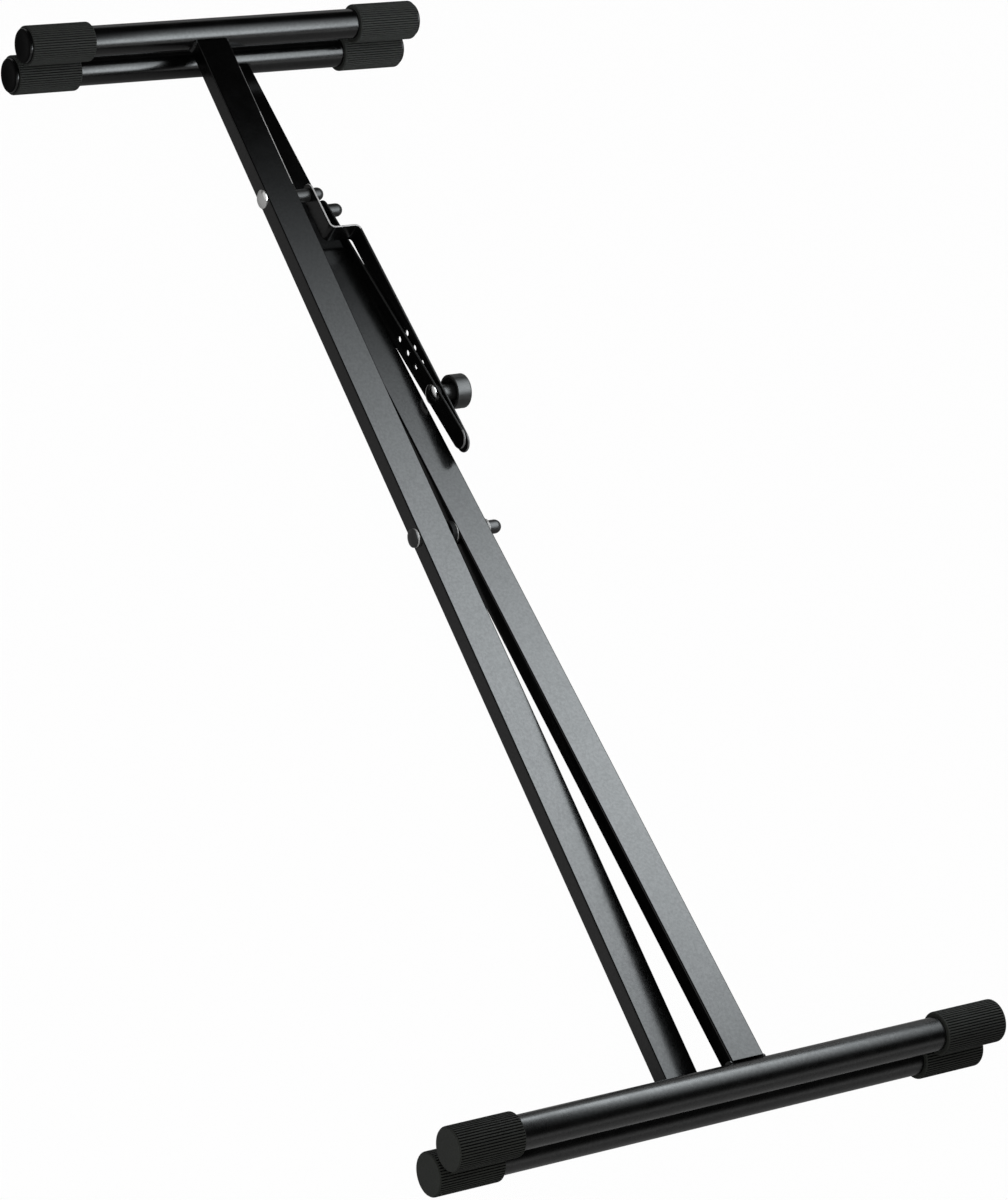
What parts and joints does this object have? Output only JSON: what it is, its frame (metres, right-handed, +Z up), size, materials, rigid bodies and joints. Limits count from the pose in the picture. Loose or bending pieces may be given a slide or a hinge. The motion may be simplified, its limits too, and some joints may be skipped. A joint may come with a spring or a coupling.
{
  "type": "folding keyboard stand",
  "caption": "Folded X-shaped keyboard stand: crossed box-section legs with round support and foot tubes, ribbed rubber ends, folding lock straps and a clamping knob.",
  "frame": {"origin": "on the floor under the middle of the folded stand", "axes": "+X along the round tubes towards the knob, +Y along the legs towards the support tubes, +Z up from the floor the folded stand lies on"},
  "size_m": [0.52, 1.0938, 0.0736],
  "materials": {
    "leg_coat": "satin black powder coat",
    "weld_coat": "painted weld bead",
    "tube_coat": "gloss black coat",
    "grip_rubber": "matt ribbed rubber",
    "plug_plastic": "gloss black plastic",
    "strap_coat": "gloss black coat",
    "zinc": "zinc plated",
    "dark_bolt": "blackened steel",
    "dark_nylon": "dark nylon",
    "pale_nylon": "pale nylon",
    "cover_plastic": "satin black plastic",
    "knob_plastic": "satin black plastic"
  },
  "bodies": {
    "leg_b": {"leg_b_tube": "leg_coat", "support_tube_b": "tube_coat", "foot_tube_b": "tube_coat", "weld_support_b": "weld_coat", "weld_foot_b": "weld_coat", "support_grip_b_left": "grip_rubber", "support_grip_b_right": "grip_rubber", "support_plug_b_left": "plug_plastic", "support_plug_b_right": "plug_plastic", "foot_cap_b_left": "grip_rubber", "foot_cap_b_right": "grip_rubber", "pivot_bolt": "dark_bolt", "pivot_washer_head": "pale_nylon", "pivot_washer_pale": "pale_nylon", "pivot_washer_outer": "pale_nylon", "pivot_nut": "zinc", "pivot_nut_cover": "cover_plastic", "strap_pin_b": "zinc", "strap_spacer_b": "dark_bolt", "strap_nut_b": "zinc", "strap_nut_cover_b": "cover_plastic"},
    "leg_a": {"leg_a_tube": "leg_coat", "support_tube_a": "tube_coat", "foot_tube_a": "tube_coat", "weld_support_a": "weld_coat", "weld_foot_a": "weld_coat", "support_grip_a_left": "grip_rubber", "support_grip_a_right": "grip_rubber", "support_plug_a_left": "plug_plastic", "support_plug_a_right": "plug_plastic", "foot_cap_a_left": "grip_rubber", "foot_cap_a_right": "grip_rubber", "pivot_bush": "dark_nylon", "pivot_washer_dark": "dark_nylon", "strap_pin_a": "zinc", "strap_spacer_a": "dark_bolt", "strap_nut_a": "zinc", "strap_nut_cover_a": "cover_plastic"},
    "strap_a": {"strap_a": "strap_coat"},
    "strap_b": {"strap_b": "strap_coat", "elbow_bolt": "zinc", "elbow_washer": "dark_nylon"},
    "knob": {"knob": "knob_plastic", "knob_stud": "zinc"}
  },
  "joints": [
    {"name": "fold", "type": "hinge", "parent": "leg_b", "child": "leg_a", "pos_m": [0, 0.002, 0.03675], "axis": [1, 0, 0], "range_deg": [0, 40]},
    {"name": "strap_a_turn", "type": "hinge", "parent": "leg_a", "child": "strap_a", "pos_m": [0, 0.34977, 0.04951], "axis": [1, 0, 0], "range_deg": [0, 16.6]},
    {"name": "strap_b_turn", "type": "hinge", "parent": "leg_b", "child": "strap_b", "pos_m": [0, 0.34976, 0.0239], "axis": [1, 0, 0], "range_deg": [-10.2, 0]},
    {"name": "knob_spin", "type": "hinge", "parent": "strap_a", "child": "knob", "pos_m": [0, 0.1308, 0.05005], "axis": [1, 0, 0], "continuous": true}
  ],
  "couplings": [
    {"joint": "strap_a_turn", "follows": "fold", "ratio": 0.41119},
    {"joint": "strap_b_turn", "follows": "fold", "ratio": -0.25139}
  ]
}
